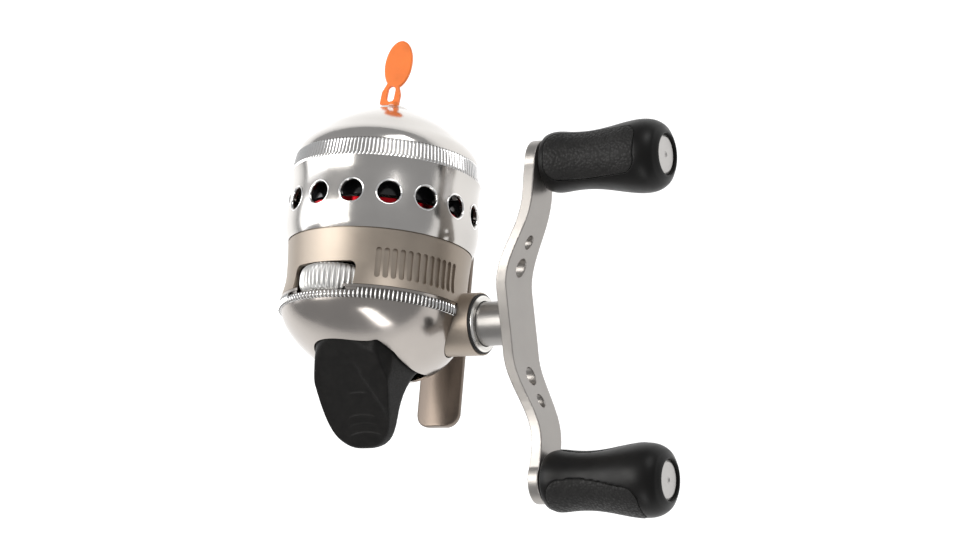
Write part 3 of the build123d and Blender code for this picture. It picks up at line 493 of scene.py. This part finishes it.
def build_front_band():
    """The finely fluted grip band in the front cover's recess: bars brightened with painted highlight, over a
    floor darkened with painted shade.
    """
    edge_in, edge_down, edge_share = 0.02, 0.1, 0.6
    profile = [(BAND_START, BAND_ROOTS[0], 0),
               (BAND_START + edge_in, band_taper(BAND_START) - edge_down, edge_share)]
    for k in range(BAND_ROWS):
        length = BAND_END - BAND_START - 2 * BAND_LIP
        station = BAND_START + BAND_LIP + length * k / (BAND_ROWS - 1)
        profile.append((station, band_taper(station) + BAND_PROUD, 1))
    profile += [(BAND_END - edge_in, band_taper(BAND_END) - edge_down, edge_share),
                (BAND_END, BAND_ROOTS[1], 0)]
    bars = fluted_ring("front_band", profile, BAND_FLUTES, BAND_DEPTH)
    place(bars, "housing", "polished_aluminium", RIM_PAINTED_HIGHLIGHT)

    start, end = BAND_START + FLOOR_IN, BAND_END - FLOOR_IN
    recess = [(start, FLOOR_ROOTS[0]), (start, band_taper(BAND_START) - BAND_PROUD),
              (end, band_taper(BAND_END) - BAND_PROUD), (end, FLOOR_ROOTS[1])]
    place(plain_ring("front_band_floor", recess), "housing", "polished_aluminium", BAND_RECESS)


def build_hole_rims():
    """The turned bevel round each of the front cover's holes, made bright with painted highlight."""
    verts, faces = [], []
    for hole in range(HOLE_COUNT):
        turn = 2 * math.pi * hole / HOLE_COUNT + HOLE_TURN
        faces += loop_faces(len(HOLE_BEVEL), HOLE_STEPS, len(verts))
        for radius, lift in HOLE_BEVEL:
            for k in range(HOLE_STEPS):
                phi = 2 * math.pi * k / HOLE_STEPS
                station = HOLE_STATION + radius * math.sin(phi)
                surface = COVER_CURVE(station / COVER_LENGTH)[0, 1]
                theta = turn + radius * math.cos(phi) / surface
                verts.append(turn_spindle(station, surface + lift, theta))
    rims = make_object("hole_rims", verts, faces, FLUTE_SHARP)
    place(rims, "housing", "polished_aluminium", RIM_PAINTED_HIGHLIGHT)


def build_nose():
    """The polished line guide, carrying the cover's curve up to its bore."""
    low, high = span_mm("nose_guide")
    tip, start = high.y - SEAM_Y, low.y - SEAM_Y
    outside = smooth_curve([(tip - behind, radius) for behind, radius in NOSE_OUTLINE])
    mouth = [(tip - behind, radius) for behind, radius in NOSE_MOUTH]
    profile = [(start, NOSE_BORE), (start, NOSE_NECK), (tip - NOSE_BACK, NOSE_NECK),
               *outside(np.linspace(0, 1, NOSE_ROWS)).tolist(), *mouth]
    piece = lathe("nose_tip", profile, NOSE_SEGMENTS, NOSE_SHARP)
    place(piece, "housing", "polished_aluminium", COVER, "nose_guide")


# ---------------------------------------------------------------- drag dial and rear rim
DIAL_FLUTES, DIAL_DEPTH = 44, 0.62
DIAL_BORE, DIAL_WEB = 2.3, 8.6
DIAL_SHOULDER = 1.7               # how far the faces' outer edges lie inside the rim
DIAL_CROWN = 1.15
DIAL_ROWS = 11

RIM_R = 26.88
RIM_ROOT = 25.0                   # radius where the rim is buried in the body
RIM_FRONT, RIM_FRONT_LOW, RIM_BACK = -17.02, -17.84, -19.86
RIM_CROWN = ((0.0, 0.5), (0.12, 0.22), (0.3, 0.06), (0.5, 0.0), (0.7, 0.05), (0.88, 0.2), (1.0, 0.5))
BAR_COUNT, BAR_DEPTH = 138, 0.75
FLOOR_FRONT, FLOOR_STEP, FLOOR_BACK = -17.05, -17.9, -19.8    # of the plain ring between the bars
FLOOR_DROP, FLOOR_DROP_FRONT = 0.42, 0.46
DIAL_HALF_ANGLE = 0.45            # the rim is narrower within this angle to either side of the dial
BOSS_HALF, CAP_BOSS_HALF = 8.95, 7.25     # half heights of the gaps for the two side bosses


def build_dial():
    """The drag dial: coarse rounded flutes on a crowned wheel."""
    low, high = span_mm("drag_dial")
    start, end = low.y - SEAM_Y, high.y - SEAM_Y
    rim = (high.z - low.z) / 2

    def point(station, radius, theta):
        return (DIAL.x + radius * math.sin(theta), SEAM_Y + station, DIAL.z + radius * math.cos(theta))

    edge_in, edge_share, tread_in = 0.12, 0.35, 0.35
    profile = [(start, DIAL_BORE, 0), (start, DIAL_WEB, 0),
               (start + edge_in, rim - DIAL_SHOULDER, edge_share)]
    for k in range(DIAL_ROWS):
        t = k / (DIAL_ROWS - 1)
        off_middle = abs(2 * t - 1)
        station = start + tread_in + (end - start - 2 * tread_in) * t
        profile.append((station, rim - DIAL_CROWN * off_middle**3.2, 1 - 0.55 * off_middle**4))
    profile += [(end - edge_in, rim - DIAL_SHOULDER, edge_share), (end, DIAL_WEB, 0), (end, DIAL_BORE, 0)]
    wheel = fluted_ring("drag_dial_shape", profile, DIAL_FLUTES, DIAL_DEPTH, point, 12)
    place(wheel, "drag_dial", "satin_silver", SILVER, "drag_dial")


def beside_dial(theta):
    """Whether an angle round the spindle is one where the drag dial takes the rim's front part."""
    dial_side = math.atan2(DIAL.x, DIAL.z - AXIS_Z)
    return abs((theta - dial_side + math.pi) % (2 * math.pi) - math.pi) < DIAL_HALF_ANGLE


def off_bosses(theta):
    """Whether an angle round the spindle is clear of the crank boss and of the side cap's boss."""
    rise = RIM_R * math.cos(theta) + AXIS_Z - CRANK.z
    return abs(rise) > (BOSS_HALF if math.sin(theta) > 0 else CAP_BOSS_HALF)


def off_both(theta):
    """Whether an angle round the spindle is clear of the dial and of both bosses."""
    return off_bosses(theta) and not beside_dial(theta)


def rim_bars(front):
    """Profile of the rim's rounded bars from a front station to the rim's back."""
    crown = [(front + (RIM_BACK - front) * t, RIM_R - drop, 1) for t, drop in RIM_CROWN]
    return [(front, RIM_ROOT, 0), *crown, (RIM_BACK, RIM_ROOT, 0)]


def rim_floor(front, front_drop, back):
    """Profile of the plain ring that lies between the bars."""
    return [(front, RIM_ROOT), (front, RIM_R - front_drop), (back, RIM_R - FLOOR_DROP), (back, RIM_ROOT)]


def build_rear_rim():
    """The coin-edged rim where the rear cover meets the body: bars brightened with painted highlight over a recess
    darkened with painted shade.
    """
    for name, front, kept in (("rear_rim", RIM_FRONT, off_both),
                              ("rear_rim_low", RIM_FRONT_LOW, beside_dial)):
        bars = fluted_ring(name, rim_bars(front), BAR_COUNT, BAR_DEPTH, columns=10, kept=kept)
        place(bars, "housing", "polished_aluminium", RIM_PAINTED_HIGHLIGHT)
    back_part = rim_floor(FLOOR_STEP, FLOOR_DROP, FLOOR_BACK)
    front_part = rim_floor(FLOOR_FRONT, FLOOR_DROP_FRONT, FLOOR_STEP)
    for name, profile, kept in (("rear_rim_floor", back_part, off_bosses),
                                ("rear_rim_floor_top", front_part, off_both)):
        place(plain_ring(name, profile, kept), "housing", "polished_aluminium", RECESS)


def build_arm():
    """The bowed double handle, its edges broken all round."""
    place(soften("handle_arm", "handle_arm_shape", 0.16, 10), "crank", "satin_silver", ARM, "handle_arm")


def build_foot():
    """The cast foot, its edges and its stem's corners rounded, in a darker champagne that is painted shade."""
    piece = soften("reel_foot", "reel_foot_shape", 0.22, 14)
    place(piece, "housing", "satin_champagne", CHAMPAGNE_SHADED_FOOT, "reel_foot")


def build_tag():
    """The moulded line tag, its edges rounded."""
    place(soften("line_tag", "line_tag_shape", 0.1, 4), "line_tag", "orange_plastic", ORANGE, "line_tag")


def build_knobs():
    """Knob bodies with softened edges, and pads with a raised pebble grain."""
    for side in ("front", "rear"):
        body = soften(f"{side}_knob", f"{side}_knob_shape", 0.24, 5)
        place(body, f"{side}_knob", "black_plastic", KNOB_PLASTIC, f"{side}_knob")
        pads = soften(f"{side}_knob_pads", f"{side}_knob_pads_shape", 0.16, 3)
        place(pads, f"{side}_knob", "black_rubber", RUBBER, f"{side}_knob_pads")


def build_return_spring():
    """The spindle's return spring: the CAD coil, copied into a mesh of its own."""
    piece = link_object("return_spring_coil", frame["nodes"]["return_spring"].data.copy())
    place(piece, "housing", "steel", STEEL, "return_spring")
    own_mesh(piece)


# ---------------------------------------------------------------- thumb button
# The crease is (station, x), and runs along the crank side of the thumb face.
CREASE = ((-55, 10.5), (-47.4, 10.2), (-42.5, 7.3), (-38.3, 4.6), (-35.1, 3.4), (-33.0, 2.8))
FACE_FRONT, FACE_BACK, FACE_LEFT = -33.2, -54.6, -11.6       # the thumb face's other edges
FACE_FRONT_BOW, FACE_FRONT_X = 0.012, -4
DISH_DEPTH = 0.8
SHOULDER_RATE, SHOULDER_REACH, SHOULDER_FRONT = 0.06, 8, -35
ARC_RISE, ARC_HALF_WIDTH, ARC_BOW, ARC_CENTRE = 0.15, 0.36, 0.035, 1.8
ARCS = ((-42.4, 3.5), (-47.9, 5.0), (-50.0, 5.8), (-52.2, 6.0))      # (station, half its length)


def facing_up(normal):
    """1 where a surface looks up, 0 where it looks sideways or down."""
    return smoothstep((normal[:, 2] - 0.1) / 0.6)


def dish_button(mesh):
    """Dishes the thumb face as far as its crease, and lets the crank side's shoulder fall away."""
    p, normal = shape_arrays(mesh)
    x, y = p[:, 0], p[:, 1] - SEAM_Y
    top_side = facing_up(normal) * smoothstep((p[:, 2] - AXIS_Z + 4) / 3)
    crease = np.interp(y, *np.transpose(CREASE))
    front_edge = FACE_FRONT - FACE_FRONT_BOW * (x - FACE_FRONT_X) ** 2
    inside = smoothstep((crease - x + 0.4) / 1.9) * smoothstep((front_edge - y) / 2.6)
    inside *= smoothstep((x - FACE_LEFT) / 2.5)
    dish = DISH_DEPTH * inside * smoothstep((y - FACE_BACK) / 4)
    past_crease = np.clip(x - crease, 0, SHOULDER_REACH)
    shoulder = SHOULDER_RATE * past_crease**1.5 * smoothstep((SHOULDER_FRONT - y) / 6)
    p[:, 2] -= top_side * (dish + shoulder)
    set_places(mesh, p)


def raise_arcs(mesh):
    """Raises the bowed grip arcs on the thumb face."""
    p, normal = shape_arrays(mesh)
    x, y = p[:, 0], p[:, 1] - SEAM_Y
    arcs = np.zeros(len(y))
    for middle, reach in ARCS:
        off_line = y - middle + ARC_BOW * (x - ARC_CENTRE) ** 2
        end_fade = smoothstep((reach - np.abs(x - ARC_CENTRE)) / 1.8)
        arcs += np.exp(-((off_line / ARC_HALF_WIDTH) ** 2)) * end_fade
    p[:, 2] += ARC_RISE * arcs * facing_up(normal)
    set_places(mesh, p)


def build_button():
    """The thumb button: a dished thumb face with a crease to the crank side and low grip arcs."""
    piece = soften("thumb_button", "thumb_button_shape", 0.25, 30)
    dish_button(piece.data)
    add_smoothing(piece, 24)
    apply_modifiers(piece)
    raise_arcs(piece.data)
    place(piece, "thumb_button", "black_rubber", BUTTON_RUBBER, "thumb_button")


# ---------------------------------------------------------------- floor, light and camera
FLOOR_HALF_MM, FLOOR_Z_MM = 3000, -55
VIEW_AZ, VIEW_EL, VIEW_ROLL = math.radians(62.62), math.radians(57.78), math.radians(4.8)
VIEW_LENS, VIEW_SENSOR = 94.23, 36
VIEW_TARGET_MM, VIEW_DISTANCE_MM = (30.06, 6.2, 31.88), 709.42
LIGHT_TARGET_MM = (0, 0, 40)


def build_floor():
    """A wide pale floor, flat and a little below the foot."""
    mesh = bpy.data.meshes.new("floor")
    half = FLOOR_HALF_MM * MM
    mesh.from_pydata([(-half, -half, 0), (half, -half, 0), (half, half, 0), (-half, half, 0)], [],
                     [(0, 1, 2, 3)])
    floor = link_object("floor", mesh)
    floor.location.z = FLOOR_Z_MM * MM
    s = Shader("floor_paint", (0.5, 0.5, 0.5), roughness=0.8, Specular_IOR_Level=0.1,
               Emission_Color=(1, 1, 1, 1), Emission_Strength=0.74)
    s.rough(s.noise(s.coordinates(), 30, 3), 0.75, 0.85)
    floor.data.materials.append(s.material)


def area_light(name, place_mm, width_mm, height_mm, watts, tone=(1, 1, 1)):
    """A rectangular light that faces the reel."""
    data = bpy.data.lights.new(name, "AREA")
    data.shape = "RECTANGLE"
    data.size = width_mm * MM
    data.size_y = height_mm * MM
    data.energy = watts
    data.color = tone
    lamp = link_object(name, data)
    lamp.location = Vector(place_mm) * MM
    back = (Vector(place_mm) - Vector(LIGHT_TARGET_MM)).normalized()
    lamp.rotation_euler = back.to_track_quat("Z", "Y").to_euler()


def build_light():
    """A dim even surround and four soft boxes."""
    world = bpy.data.worlds.new("studio")
    world.use_nodes = True
    world.node_tree.nodes["Background"].inputs["Color"].default_value = (0.92, 0.93, 0.95, 1)
    world.node_tree.nodes["Background"].inputs["Strength"].default_value = 0.44
    bpy.context.scene.world = world
    bpy.context.scene.view_settings.view_transform = "Standard"
    area_light("key", (-300, 0, 580), 400, 400, 2.8, (1, 0.985, 0.96))
    area_light("front_box", (330, 420, 380), 260, 260, 0.9)
    area_light("left_fill", (-520, 60, 300), 340, 340, 0.8, (0.97, 0.98, 1))
    area_light("back_strip", (120, -560, 260), 140, 380, 0.7)


def build_camera():
    """A long lens high on the crank side, ahead of the handle."""
    back = Vector((math.sin(VIEW_AZ) * math.cos(VIEW_EL), -math.cos(VIEW_AZ) * math.cos(VIEW_EL),
                   math.sin(VIEW_EL)))
    right = Vector((0, 1, 0)).cross(back).normalized()
    up = back.cross(right)
    side = math.cos(VIEW_ROLL) * right + math.sin(VIEW_ROLL) * up
    top = -math.sin(VIEW_ROLL) * right + math.cos(VIEW_ROLL) * up
    data = bpy.data.cameras.new("camera")
    data.lens = VIEW_LENS
    data.sensor_width = VIEW_SENSOR
    camera = link_object("camera", data)
    where = (Vector(VIEW_TARGET_MM) + back * VIEW_DISTANCE_MM) * MM
    camera.matrix_world = Matrix.Translation(where) @ Matrix((side, top, back)).transposed().to_4x4()
    bpy.context.scene.camera = camera


dress_cad_nodes()
build_front_band()
build_hole_rims()
build_dial()
build_rear_rim()
build_nose()
build_arm()
build_foot()
build_tag()
build_button()
build_knobs()
build_return_spring()
build_floor()
build_light()
build_camera()
